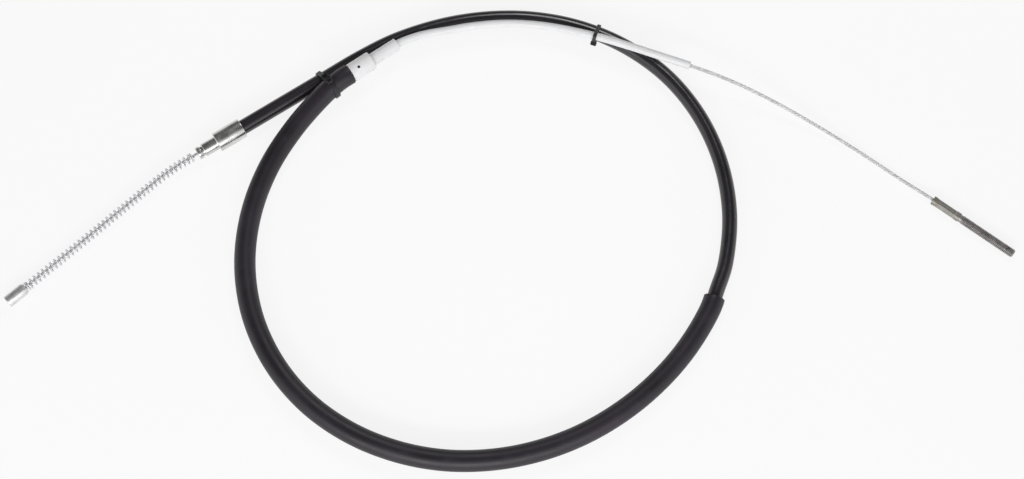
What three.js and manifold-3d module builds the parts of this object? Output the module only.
// A parking brake cable, laid out in one loose loop on a flat floor.
// Millimetres, +Z up, the floor at Z = 0 and the origin under the middle of the loop.
// The wheel end, with its spring and nipple, points to -X and the threaded lever end to +X.

import * as THREE from 'three';
import { mergeVertices } from 'three/addons/utils/BufferGeometryUtils.js';
import Module from 'manifold-3d';

const wasm = await Module();
wasm.setup();

// Clearances between pieces that lie in, on or against each other
const layerGap = 0.35;
const endGap = 0.3;
const floorGap = 0.05;

// Layers of the cable, from the inner wire outwards
const wireDiameter = 2.5;
const linerWall = 0.6;
const armourWall = 0.75;
const jacketWall = 1.3;
const hoseWall = 1.55;
const hoseLength = 564;

const wireRadius = wireDiameter / 2;
const linerBore = wireRadius + layerGap;
const linerRadius = linerBore + linerWall;
const armourBore = linerRadius + layerGap;
const armourRadius = armourBore + armourWall;
const jacketBore = armourRadius + layerGap;
const jacketRadius = jacketBore + jacketWall;
const hoseBore = jacketRadius + layerGap;
const hoseRadius = hoseBore + hoseWall;

// Guide tube at the lever end
const tubeClearance = 0.45;
const tubeWall = 0.9;
const tubeBore = wireRadius + tubeClearance;
const tubeRadius = tubeBore + tubeWall;

// Working stroke of the inner wire, and how far its two moving ends reach into their guides
const stroke = 25;
const wheelStub = 5;
const leverStub = stroke + 10;
const splitGap = 0.5;

// Wheel end ferrule, a turned steel sleeve staked onto the conduit
const ferruleBore = 4.4;
const ferruleLipDiameter = 8.6;
const ferruleLipLength = 2.6;
const ferruleGrooveDiameter = 7.2;
const ferruleGrooveLength = 2;
const ferruleNoseDiameter = 9.1;
const ferruleNoseLength = 9.9;
const ferruleBodyLength = 19.3;
const ferruleSocketDepth = 15;
const ferruleWall = 1.4;
const ferruleEdge = 0.45;
const stakeRadius = 2.4;
const stakeDepth = 0.65;
const stakeFromShoulder = 9.2;

const ferruleRadius = jacketRadius + layerGap + ferruleWall;
const ferruleShoulder = ferruleLipLength + ferruleGrooveLength + ferruleNoseLength;
const ferruleLength = ferruleShoulder + ferruleBodyLength;
const ferruleSocketStart = ferruleLength - ferruleSocketDepth;

// Lever end fitting, a moulded plastic sleeve between the conduit and the guide tube
const fittingWall = 1;
const fittingBodyLength = 16.5;
const fittingSocketDepth = 10;
const fittingNeckWall = 1.3;
const fittingNeckLength = 20.4;
const fittingTubeDepth = 12;
const fittingPassage = 4;
const fittingEdge = 0.5;
const lockHoleDiameter = 2;
const lockHoleFromRear = 6.1;
const lockHoleLean = 15;

const fittingRadius = jacketRadius + layerGap + fittingWall;
const fittingNeckRadius = tubeRadius + layerGap + fittingNeckWall;
const fittingLength = fittingBodyLength + fittingNeckLength;

// Nipple at the wheel end
const nippleDiameter = 8;
const nippleLength = 13.5;
const nippleCollarLength = 1.2;
const nippleEdge = 0.6;
const nippleRecess = 1;
const nippleRadius = nippleDiameter / 2;

// Return spring, a long compression spring with closed ends
const springWire = 0.9;
const springClearance = 1.2;
const springFreeGap = 3.7;
const springTurns = 42.5;
const springClosedTurns = 1.25;
const springClosedPitch = springWire + 0.25;
const springMeanRadius = wireRadius + springClearance + springWire / 2;
const springRadius = springMeanRadius + springWire / 2;

// Threaded end rod, with a sleeve swaged onto the wire
const rodSleeveWall = 1.4;
const rodSleeveLength = 20.6;
const rodBoreDepth = 19;
const rodNeckDiameter = 5;
const rodNeckLength = 1.9;
const rodThreadDiameter = 5.8;
const rodThreadLength = 39.2;
const rodEndDiameter = 4.4;
const rodEdge = 0.5;
const rodEndChamfer = 1.2;
const swageAcrossFlats = 5.35;
const swageStart = 3;
const swageLength = 14;
const rodSleeveRadius = wireRadius + layerGap + rodSleeveWall;
const rodLength = rodSleeveLength + rodNeckLength + rodThreadLength;

// Cable ties: one holds the hose to the conduit, the other the guide tube
const strapGap = 0.3;
const tailSink = 0.5;
const hoseTie = { width: 3.2, thickness: 1.05, head: { length: 6.6, width: 5, height: 3.4 }, headTurn: 14, tail: 3 };
const tubeTie = { width: 2.3, thickness: 1, head: { length: 4.4, width: 3.8, height: 3 }, headTurn: 0, tail: 2 };

// Where the ends lie in the loop, and which way they point, in degrees from +X
const ferruleTip = new THREE.Vector3(-206.3, 53.2, ferruleRadius);
const ferruleHeading = 33.3;
const fittingRear = new THREE.Vector3(-106.9, 107.4, 14.1);
const fittingHeading = 35;
const tubeEnd = new THREE.Vector3(118.1, 112.9, 14.3);
const tubeEndHeading = -19.6;
const rodMouth = new THREE.Vector3(274.8, 22.5, rodSleeveRadius);
const rodHeading = -37;

// The free wheel end: length out of the ferrule, and its one gentle bend
const wheelFreeLength = 139.3;
const wheelStraight = 8;
const wheelBendRadius = 180;
const wheelBendAngle = 8.7;
const wheelBendSteps = 5;
const wheelDropLength = 100;
const springLength = wheelFreeLength - springFreeGap - endGap;

// Heights of the conduit's middle: lying on the floor, inside the hose, and lifted by ferrule and ties
const lying = jacketRadius + 2 * floorGap;
const sleeved = hoseRadius + floorGap;
const lifted = 6.4;

// Facets: sides of the round sections and the chords that a bent piece is walked in
const conduitChord = 27;
const tubeChord = 18;
const wireChord = 9;
const jacketSides = 12;
const innerSides = 8;
const wireSides = 8;
const springSides = 6;
const springStepsPerTurn = 8;
const turnedSides = 24;

const up = new THREE.Vector3(0, 0, 1);

function headingVector(degrees) {
  const angle = THREE.MathUtils.degToRad(degrees);
  return new THREE.Vector3(Math.cos(angle), Math.sin(angle), 0);
}

function along(origin, direction, distance) {
  return origin.clone().addScaledVector(direction, distance);
}

// A centreline: a smooth curve through chosen points, walked in straight chords.
// Marks are distances that get a station of their own.
class Centreline {
  constructor(points, chord, marks = []) {
    const curve = new THREE.CatmullRomCurve3(points, false, 'centripetal');
    curve.arcLengthDivisions = points.length * 60;
    this.length = curve.getLength();
    const steps = Math.round(this.length / chord);
    const even = Array.from({ length: steps + 1 }, (_, i) => (i * this.length) / steps);
    const fromEnds = marks.map((mark) => (mark < 0 ? this.length + mark : mark));
    const clear = even.filter((d) => fromEnds.every((mark) => Math.abs(mark - d) > chord / 3));
    this.distances = [0, ...clear.slice(1, -1), this.length, ...fromEnds].sort((a, b) => a - b);
    this.stations = this.distances.map((d) => curve.getPointAt(d / this.length));
  }

  chordAt(distance) {
    const found = this.distances.findIndex((d) => d > distance + 1e-6);
    return found < 0 ? this.distances.length - 1 : Math.max(found, 1);
  }

  at(distance) {
    const i = this.chordAt(distance);
    const start = this.distances[i - 1];
    const share = (distance - start) / (this.distances[i] - start);
    return this.stations[i - 1].clone().lerp(this.stations[i], share);
  }

  heading(distance) {
    const i = this.chordAt(distance);
    return this.stations[i].clone().sub(this.stations[i - 1]).normalize();
  }

  stretch(from, to) {
    const inside = this.stations.filter((_, i) => this.distances[i] > from + 1 && this.distances[i] < to - 1);
    return [this.at(from), ...inside, this.at(to)];
  }

  // The point between two distances where the centreline passes through a plane
  crossing(from, to, origin, normal) {
    const side = (d) => this.at(d).sub(origin).dot(normal);
    let [low, high] = [from, to];
    for (let i = 0; i < 40; i++) {
      const middle = (low + high) / 2;
      if (side(low) * side(middle) > 0) low = middle;
      else high = middle;
    }
    return this.at(low);
  }
}

// An extrusion path through given stations, whose section keeps its first axis along given normals
class StationPath extends THREE.Curve {
  constructor(stations, normalAt) {
    super();
    this.stations = stations;
    this.normalAt = normalAt;
  }

  getSpacedPoints() {
    return this.stations;
  }

  computeFrenetFrames() {
    const last = this.stations.length - 1;
    const tangents = this.stations.map((_, i) => this.stations[Math.min(i + 1, last)]
      .clone().sub(this.stations[Math.max(i - 1, 0)]).normalize());
    const normals = tangents.map((tangent, i) => {
      const normal = this.normalAt(i).clone();
      return normal.addScaledVector(tangent, -normal.dot(tangent)).normalize();
    });
    const binormals = tangents.map((tangent, i) => tangent.clone().cross(normals[i]));
    return { tangents, normals, binormals };
  }
}

function polygon(radius, sides) {
  return Array.from({ length: sides }, (_, i) => {
    const angle = (2 * Math.PI * i) / sides;
    return new THREE.Vector2(radius * Math.cos(angle), radius * Math.sin(angle));
  });
}

// A round section, hollow where a bore is given
function roundSection(radius, sides, bore = 0, boreSides = sides) {
  const shape = new THREE.Shape(polygon(radius, sides));
  if (bore > 0) shape.holes.push(new THREE.Path(polygon(bore, boreSides)));
  return shape;
}

function sweep(section, stations, normalAt = () => up) {
  const extrudePath = new StationPath(stations, normalAt);
  return new THREE.ExtrudeGeometry(section, { steps: stations.length - 1, extrudePath });
}

// A turned body: pairs of radius and distance along the axis, closed on themselves or at the axis
function turned(outline, sides = turnedSides) {
  return new THREE.LatheGeometry(outline.map(([radius, distance]) => new THREE.Vector2(radius, distance)), sides);
}

// Joins and cuts
function toSolid(geometry) {
  const bare = geometry.clone();
  bare.deleteAttribute('normal');
  bare.deleteAttribute('uv');
  const merged = mergeVertices(bare, 1e-4);
  const corners = Array.from(merged.index.array);
  const triangles = [];
  for (let i = 0; i < corners.length; i += 3) {
    const [a, b, c] = corners.slice(i, i + 3);
    if (a !== b && b !== c && c !== a) triangles.push(a, b, c);
  }
  return new wasm.Manifold(new wasm.Mesh({
    numProp: 3,
    vertProperties: new Float32Array(merged.attributes.position.array),
    triVerts: new Uint32Array(triangles),
  }));
}

function toGeometry(solid) {
  const mesh = solid.getMesh();
  const geometry = new THREE.BufferGeometry();
  geometry.setAttribute('position', new THREE.BufferAttribute(new Float32Array(mesh.vertProperties), 3));
  geometry.setIndex(new THREE.BufferAttribute(new Uint32Array(mesh.triVerts), 1));
  geometry.computeVertexNormals();
  return geometry;
}

// Materials
const finish = {
  jacket: { color: 0x2b272d, roughness: 0.42, metalness: 0 },
  hose: { color: 0x35313a, roughness: 0.7, metalness: 0 },
  plated: { color: 0xb4b6b8, roughness: 0.32, metalness: 1 },
  spring: { color: 0xa6a8ae, roughness: 0.3, metalness: 1 },
  wire: { color: 0xb9b8b2, roughness: 0.4, metalness: 1 },
  darkSteel: { color: 0x5f5b57, roughness: 0.42, metalness: 1 },
  armour: { color: 0x8e9094, roughness: 0.45, metalness: 1 },
  liner: { color: 0xe4e2d8, roughness: 0.5, metalness: 0 },
  white: { color: 0xf1f1f3, roughness: 0.45, metalness: 0 },
  tie: { color: 0x1f1d21, roughness: 0.5, metalness: 0 },
};

function piece(name, geometry, look) {
  const mesh = new THREE.Mesh(geometry, new THREE.MeshStandardMaterial(finish[look]));
  mesh.name = name;
  return mesh;
}

// Sets a turned piece on its place: its axis along a direction, its Z side up, its X side to the right
function place(mesh, origin, direction) {
  const right = direction.clone().cross(up).normalize();
  const top = right.clone().cross(direction);
  mesh.quaternion.setFromRotationMatrix(new THREE.Matrix4().makeBasis(right, direction, top));
  mesh.position.copy(origin);
  return mesh;
}

// Conduit centreline, from the ferrule's tip once round the loop into the lever end fitting
const ferruleAxis = headingVector(ferruleHeading);
const fittingAxis = headingVector(fittingHeading);
const conduitEnd = along(fittingRear, fittingAxis, fittingSocketDepth);
const straightBeforeFitting = 8;
const conduitPoints = [
  ...[0, 30, 60, 95, 125].map((distance) => along(ferruleTip, ferruleAxis, distance)),
  ...[
    [-77.2, 135.4, lifted],
    [-45.2, 146.3, lifted],
    [-13.4, 151.2, lifted],
    [18, 150.3, lifted],
    [48.8, 143.1, lifted],
    [78.2, 128.9, lifted],
    [104.6, 107.5, lifted - 0.6],
    [124.7, 79.5, lying],
    [137.2, 46.8, lying],
    [141.4, 12, lying + 0.2],
    [137.2, -22.2, sleeved - 0.5],
    [131.3, -39.2, sleeved + 0.05],
    [125.8, -53.6, sleeved],
    [109, -80.4, sleeved],
    [88.4, -103, sleeved],
    [65.2, -121.3, sleeved],
    [40.2, -135.2, sleeved],
    [13.6, -144.6, sleeved],
    [-14.2, -149.5, sleeved],
    [-43, -149.6, sleeved],
    [-72.2, -144, sleeved],
    [-101, -132.3, sleeved],
    [-127.6, -113.9, sleeved],
    [-149.4, -88.9, sleeved],
    [-164.8, -58, sleeved],
    [-171.6, -23.6, sleeved],
    [-169.4, 11, sleeved],
    [-159.4, 43, sleeved + 0.5],
    [-143.4, 70.6, sleeved + 1.9],
    [-124.4, 93.2, sleeved + 4.9],
  ].map(([x, y, z]) => new THREE.Vector3(x, y, z)),
  along(fittingRear, fittingAxis, -straightBeforeFitting),
  fittingRear,
  conduitEnd,
];
const conduitMarks = [-fittingSocketDepth, -fittingSocketDepth - straightBeforeFitting];
const conduit = new Centreline(conduitPoints, conduitChord, conduitMarks);
const hoseStart = conduit.length - fittingSocketDepth - endGap - hoseLength;

// Guide tube centreline, from the conduit's end in the fitting to the tube's open end
const tubeAxis = headingVector(tubeEndHeading);
const tubeLastStretch = [[62, 13.2], [50, 14], [40, tubeEnd.z], [20, tubeEnd.z], [0, tubeEnd.z]];
const tubePoints = [
  conduitEnd,
  along(fittingRear, fittingAxis, (fittingSocketDepth + fittingLength) / 2),
  along(fittingRear, fittingAxis, fittingLength),
  ...[
    [-61.4, 135.5, 12.7],
    [-43.6, 139.8, 11.5],
    [-27.5, 142.9, 11.2],
    [-11.4, 144.7, 11.2],
    [3.6, 144.9, 11.2],
    [18.2, 143.7, 11.2],
    [32.4, 141.3, 11.4],
    [45.4, 138, 12.1],
  ].map(([x, y, z]) => new THREE.Vector3(x, y, z)),
  ...tubeLastStretch.map(([back, z]) => along(tubeEnd, tubeAxis, -back).setZ(z)),
];
const tubeStart = fittingLength - fittingTubeDepth - fittingSocketDepth;
const tubeMouth = fittingLength - fittingSocketDepth;
const guide = new Centreline(tubePoints, tubeChord, [tubeMouth]);

// Lever end wire, out of the guide tube, down to the floor and into the threaded rod's sleeve
const rodAxis = headingVector(rodHeading);
const leverPoints = [
  ...[-leverStub, -leverStub / 2, 0].map((distance) => along(tubeEnd, tubeAxis, distance)),
  ...[
    [135, 106.6, 13.6],
    [151.6, 99.6, 12.1],
    [167.8, 92, 9.9],
    [183.8, 83.7, 7.4],
    [199.6, 74.9, 5],
    [215.2, 65.4, 3.1],
    [230.4, 55.3, 1.9],
    [245.2, 44.6, 1.5],
    [258.4, 34.6, 1.9],
  ].map(([x, y, z]) => new THREE.Vector3(x, y, z)),
  along(rodMouth, rodAxis, -5),
  rodMouth,
  along(rodMouth, rodAxis, rodBoreDepth - endGap),
];
const leverWire = new Centreline(leverPoints, wireChord, [leverStub, endGap - rodBoreDepth]);

// Wheel end wire, straight out of the ferrule, round one gentle bend and down into the nipple
const nippleFullLength = nippleCollarLength + nippleLength;
const wheelOut = ferruleAxis.clone().negate();
const wheelReach = wheelFreeLength + nippleFullLength;

function wheelPoints() {
  const points = [-wheelStub, 0, wheelStraight / 2, wheelStraight].map((d) => along(ferruleTip, wheelOut, d));
  const bendLength = wheelBendRadius * THREE.MathUtils.degToRad(wheelBendAngle);
  const rest = wheelReach - wheelStraight - bendLength;
  let point = points.at(-1);
  for (let i = 0; i < wheelBendSteps; i++) {
    const bent = (wheelBendAngle * (i + 0.5)) / wheelBendSteps;
    const direction = headingVector(ferruleHeading + bent).negate();
    point = along(point, direction, bendLength / wheelBendSteps);
    points.push(point);
  }
  const direction = headingVector(ferruleHeading + wheelBendAngle).negate();
  for (const share of [0.25, 0.5, 0.75, 1]) points.push(along(point, direction, rest * share));
  const drop = (p) => {
    const share = (p.distanceTo(ferruleTip) - wheelStraight) / wheelDropLength;
    return THREE.MathUtils.smoothstep(share, 0, 1) * (ferruleRadius - nippleRadius - floorGap);
  };
  return points.map((p, i) => (i < 4 ? p : p.clone().setZ(p.z - drop(p))));
}
const wheelWire = new Centreline(wheelPoints(), wireChord, [wheelStub + wheelFreeLength]);
const collarFace = wheelStub + wheelFreeLength;

// Pieces of the conduit
function conduitJacket() {
  const section = roundSection(jacketRadius, jacketSides, jacketBore, innerSides);
  const stations = conduit.stretch(ferruleSocketStart + endGap, conduit.length - endGap);
  return piece('conduit_jacket', sweep(section, stations), 'jacket');
}

function conduitArmour() {
  const section = roundSection(armourRadius, innerSides, armourBore, innerSides);
  const stations = conduit.stretch(ferruleSocketStart + endGap, conduit.length - endGap);
  return piece('conduit_armour', sweep(section, stations), 'armour');
}

function conduitLiner() {
  const section = roundSection(linerRadius, innerSides, linerBore, wireSides);
  const stations = conduit.stretch(ferruleSocketStart + endGap, conduit.length - endGap);
  return piece('conduit_liner', sweep(section, stations), 'liner');
}

function protectiveHose() {
  const section = roundSection(hoseRadius, jacketSides, hoseBore, jacketSides);
  const stations = conduit.stretch(hoseStart, conduit.length - fittingSocketDepth - endGap);
  return piece('protective_hose', sweep(section, stations), 'hose');
}

function guideTube() {
  const section = roundSection(tubeRadius, wireSides, tubeBore, wireSides);
  return piece('guide_tube', sweep(section, guide.stretch(tubeStart + endGap, guide.length)), 'white');
}

// Inner wire, in three stretches: the two ends move, the middle lies still inside its guides
function innerWireMiddle() {
  const inConduit = conduit.stretch(wheelStub + stroke + splitGap, conduit.length);
  const inGuide = guide.stretch(0, guide.length - leverStub - splitGap).slice(1);
  const section = roundSection(wireRadius, wireSides);
  return piece('inner_wire_middle', sweep(section, [...inConduit, ...inGuide]), 'wire');
}

function innerWireWheelEnd() {
  const stations = wheelWire.stretch(0, collarFace + nippleFullLength - nippleRecess);
  return piece('inner_wire_wheel_end', sweep(roundSection(wireRadius, wireSides), stations), 'wire');
}

function innerWireLeverEnd() {
  const stations = leverWire.stretch(0, leverWire.length);
  return piece('inner_wire_lever_end', sweep(roundSection(wireRadius, wireSides), stations), 'wire');
}

// The ferrule: grooved nose, flat shoulder, and a socket staked onto the conduit from two sides
function wheelEndFerrule() {
  const groove = ferruleLipLength + ferruleGrooveLength;
  const bore = ferruleBore / 2;
  const lip = ferruleLipDiameter / 2;
  const nose = ferruleNoseDiameter / 2;
  const socket = jacketRadius + layerGap;
  const outline = [
    [bore, 0],
    [lip - ferruleEdge, 0],
    [lip, ferruleEdge],
    [lip, ferruleLipLength],
    [ferruleGrooveDiameter / 2, ferruleLipLength],
    [ferruleGrooveDiameter / 2, groove],
    [nose, groove],
    [nose, ferruleShoulder],
    [ferruleRadius - ferruleEdge, ferruleShoulder],
    [ferruleRadius, ferruleShoulder + ferruleEdge],
    [ferruleRadius, ferruleLength - 2 * ferruleEdge],
    [ferruleRadius - ferruleEdge, ferruleLength],
    [socket, ferruleLength],
    [socket, ferruleSocketStart],
    [bore, ferruleSocketStart],
    [bore, 0],
  ];
  let solid = toSolid(turned(outline));
  for (const side of [-1, 1]) {
    const stake = new THREE.SphereGeometry(stakeRadius, 12, 8);
    const offset = side * (ferruleRadius + stakeRadius - stakeDepth);
    stake.translate(offset, ferruleShoulder + stakeFromShoulder, 0);
    solid = solid.subtract(toSolid(stake));
  }
  return place(piece('wheel_end_ferrule', toGeometry(solid), 'plated'), ferruleTip, ferruleAxis);
}

// The lever end fitting: wide body over the conduit, locking hole, and a neck that grips the guide tube
function leverEndFitting() {
  const socket = jacketRadius + layerGap;
  const passage = fittingPassage / 2;
  const tubeSocket = tubeRadius + layerGap;
  const tubeSocketStart = fittingLength - fittingTubeDepth;
  const outline = [
    [socket, 0],
    [fittingRadius - fittingEdge / 2, 0],
    [fittingRadius, fittingEdge / 2],
    [fittingRadius, fittingBodyLength - fittingEdge],
    [fittingRadius - fittingEdge, fittingBodyLength],
    [fittingNeckRadius, fittingBodyLength],
    [fittingNeckRadius, fittingLength - fittingEdge],
    [fittingNeckRadius - fittingEdge, fittingLength],
    [tubeSocket, fittingLength],
    [tubeSocket, tubeSocketStart],
    [passage, tubeSocketStart],
    [passage, fittingSocketDepth],
    [socket, fittingSocketDepth],
    [socket, 0],
  ];
  const drill = new THREE.CylinderGeometry(lockHoleDiameter / 2, lockHoleDiameter / 2, fittingRadius, 12);
  drill.rotateX(Math.PI / 2);
  drill.translate(0, lockHoleFromRear, fittingRadius);
  drill.rotateY(THREE.MathUtils.degToRad(lockHoleLean));
  const solid = toSolid(turned(outline)).subtract(toSolid(drill));
  return place(piece('lever_end_fitting', toGeometry(solid), 'white'), fittingRear, fittingAxis);
}

// The nipple: a barrel with a collar that the spring stands on
function wheelEndNipple() {
  const outline = [
    [linerBore, 0],
    [springRadius, 0],
    [springRadius, nippleCollarLength],
    [nippleRadius - nippleEdge, nippleCollarLength],
    [nippleRadius, nippleCollarLength + nippleEdge],
    [nippleRadius, nippleFullLength - nippleEdge],
    [nippleRadius - nippleEdge, nippleFullLength],
    [linerBore, nippleFullLength],
    [linerBore, 0],
  ];
  const mesh = piece('wheel_end_nipple', turned(outline), 'plated');
  return place(mesh, wheelWire.at(collarFace), wheelWire.heading(collarFace + 1));
}

// The return spring: a helix round the wheel end wire, closed at both ends
function returnSpring() {
  const steps = springTurns * springStepsPerTurn;
  const end = collarFace - endGap - springWire / 2;
  const coilLength = springLength - springWire;
  const closed = springClosedTurns * springClosedPitch;
  const openPitch = (coilLength - 2 * closed) / (springTurns - 2 * springClosedTurns);
  const advance = (turn) => {
    const lead = Math.min(turn, springClosedTurns) * springClosedPitch;
    const open = THREE.MathUtils.clamp(turn - springClosedTurns, 0, springTurns - 2 * springClosedTurns);
    const trail = Math.max(0, turn - (springTurns - springClosedTurns)) * springClosedPitch;
    return lead + open * openPitch + trail;
  };
  const outwards = [];
  const stations = [];
  for (let i = 0; i <= steps; i++) {
    const turn = i / springStepsPerTurn;
    const distance = end - advance(turn);
    const tangent = wheelWire.heading(distance);
    const side = tangent.clone().cross(up).normalize();
    const top = side.clone().cross(tangent);
    const angle = 2 * Math.PI * turn;
    const outward = side.multiplyScalar(Math.cos(angle)).addScaledVector(top, Math.sin(angle));
    outwards.push(outward);
    stations.push(along(wheelWire.at(distance), outward, springMeanRadius));
  }
  const section = roundSection(springWire / 2, springSides);
  return piece('return_spring', sweep(section, stations, (i) => outwards[i]), 'spring');
}

// The threaded rod: bored and swaged sleeve, neck, and a plain shank where the thread is rolled
function threadedEndRod() {
  const neckEnd = rodSleeveLength + rodNeckLength;
  const neck = rodNeckDiameter / 2;
  const thread = rodThreadDiameter / 2;
  const outline = [
    [0, rodBoreDepth],
    [linerBore, rodBoreDepth],
    [linerBore, 0],
    [rodSleeveRadius - rodEdge, 0],
    [rodSleeveRadius, rodEdge],
    [rodSleeveRadius, rodSleeveLength - rodEdge],
    [neck, rodSleeveLength],
    [neck, neckEnd],
    [thread, neckEnd + rodEdge],
    [thread, rodLength - rodEndChamfer],
    [rodEndDiameter / 2, rodLength],
    [0, rodLength],
  ];
  const ring = roundSection(2 * rodSleeveRadius, 16, swageAcrossFlats / Math.sqrt(3), 6);
  const swage = new THREE.ExtrudeGeometry(ring, { depth: swageLength, bevelEnabled: false });
  swage.rotateX(-Math.PI / 2);
  swage.translate(0, swageStart, 0);
  const solid = toSolid(turned(outline, 16)).subtract(toSolid(swage));
  return place(piece('threaded_end_rod', toGeometry(solid), 'darkSteel'), rodMouth, rodAxis);
}

// The outline of a strap pulled tight round two circles
function strapOutline(Outline, a, b, offset) {
  const between = Math.atan2(b.y - a.y, b.x - a.x);
  const apart = Math.hypot(b.x - a.x, b.y - a.y);
  const lean = Math.acos((a.radius - b.radius) / apart);
  const outline = new Outline();
  outline.absarc(a.x, a.y, a.radius + offset, between + lean, between - lean + 2 * Math.PI, false);
  outline.absarc(b.x, b.y, b.radius + offset, between - lean, between + lean, false);
  outline.closePath();
  return outline;
}

// A cable tie round two round pieces: strap, head and cut tail. The head sits on a straight side of the loop,
// or, with headTurn, that many degrees further round the second piece
function cableTie(name, tie, origin, direction, other, radii, side) {
  const right = direction.clone().cross(up).normalize();
  const offset = other.clone().sub(origin);
  const a = { x: 0, y: 0, radius: radii[0] };
  const b = { x: offset.dot(right), y: offset.dot(up), radius: radii[1] };
  const outline = strapOutline(THREE.Shape, a, b, strapGap + tie.thickness);
  outline.holes.push(strapOutline(THREE.Path, a, b, strapGap));
  const strap = new THREE.ExtrudeGeometry(outline, { depth: tie.width, bevelEnabled: false, curveSegments: 10 });
  strap.translate(0, 0, -tie.width / 2);

  const between = Math.atan2(b.y, b.x);
  const lean = Math.acos((a.radius - b.radius) / Math.hypot(b.x, b.y));
  const tangent = between + side * lean;
  const facing = tangent - side * THREE.MathUtils.degToRad(tie.headTurn);
  const seat = tie.headTurn ? b : { x: b.x / 2, y: b.y / 2, radius: (a.radius + b.radius) / 2 };
  const head = new THREE.BoxGeometry(tie.head.length, tie.head.height, tie.head.width);
  const tail = new THREE.BoxGeometry(tie.tail, tie.thickness, tie.width);
  tail.translate((tie.head.length + tie.tail) / 2 - tailSink, 0, 0);
  const middle = seat.radius + strapGap + tie.thickness / 3 + tie.head.height / 2;
  for (const box of [head, tail]) {
    box.rotateZ(facing - Math.PI / 2);
    box.translate(seat.x + middle * Math.cos(facing), seat.y + middle * Math.sin(facing), 0);
  }
  const solid = toSolid(strap).add(toSolid(head)).add(toSolid(tail));
  const mesh = piece(name, toGeometry(solid), 'tie');
  const basis = new THREE.Matrix4().makeBasis(right, up, direction.clone().negate());
  mesh.quaternion.setFromRotationMatrix(basis);
  mesh.position.copy(origin);
  return mesh;
}

// Where each tie sits along the conduit, and how far round the loop its partner comes back to it
const hoseTieAt = 96.2;
const tubeTieAt = 291.3;
const hoseTieLean = 5;
const tubeTieLean = 5;
const hoseTieReach = 60;

function hoseCableTie() {
  const origin = conduit.at(hoseTieAt);
  const direction = headingVector((ferruleHeading + fittingHeading) / 2 + hoseTieLean);
  const partner = conduit.crossing(conduit.length - hoseTieReach, conduit.length, origin, direction);
  return cableTie('cable_tie_hose', hoseTie, origin, direction, partner, [jacketRadius, hoseRadius], 1);
}

function tubeCableTie() {
  const origin = conduit.at(tubeTieAt);
  const direction = conduit.heading(tubeTieAt).setZ(0).normalize().applyAxisAngle(up, THREE.MathUtils.degToRad(tubeTieLean));
  const partner = guide.crossing(tubeMouth, guide.length, origin, direction);
  return cableTie('cable_tie_tube', tubeTie, origin, direction, partner, [jacketRadius, tubeRadius], -1);
}

const cable = new THREE.Group();
cable.add(
  wheelEndFerrule(),
  conduitJacket(),
  conduitArmour(),
  conduitLiner(),
  protectiveHose(),
  leverEndFitting(),
  guideTube(),
  hoseCableTie(),
  tubeCableTie(),
  innerWireMiddle(),
  innerWireWheelEnd(),
  wheelEndNipple(),
  returnSpring(),
  innerWireLeverEnd(),
  threadedEndRod(),
);

export default cable;
